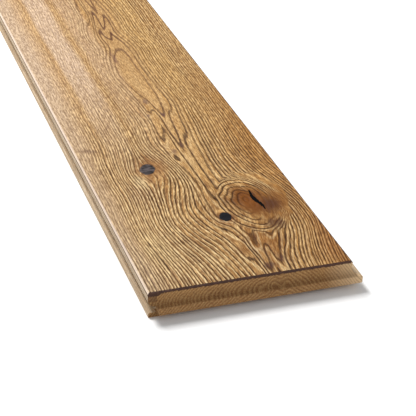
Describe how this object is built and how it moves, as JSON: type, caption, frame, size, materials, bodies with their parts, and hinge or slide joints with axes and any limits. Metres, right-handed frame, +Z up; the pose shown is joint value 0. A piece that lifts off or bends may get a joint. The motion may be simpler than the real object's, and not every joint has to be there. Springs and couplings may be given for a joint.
{
  "type": "wide plank floorboard",
  "caption": "Solid oak floorboard with a brushed golden brown face, bevelled edges, tongue and groove on its sides and ends, and relief channels along the back.",
  "frame": {"origin": "on the floor, in the middle of the board's reach with its tongues, on the plane of its back", "axes": "+X towards the side that has the tongue, +Y along the board towards the end that has the groove, +Z up out of the walking face"},
  "size_m": [0.156, 1.206, 0.02],
  "materials": {
    "oak": "brushed oak, stained golden brown and oiled on the face, raw on the sides, ends and back"
  },
  "bodies": {
    "root": {"oak_plank": "oak"}
  },
  "joints": []
}
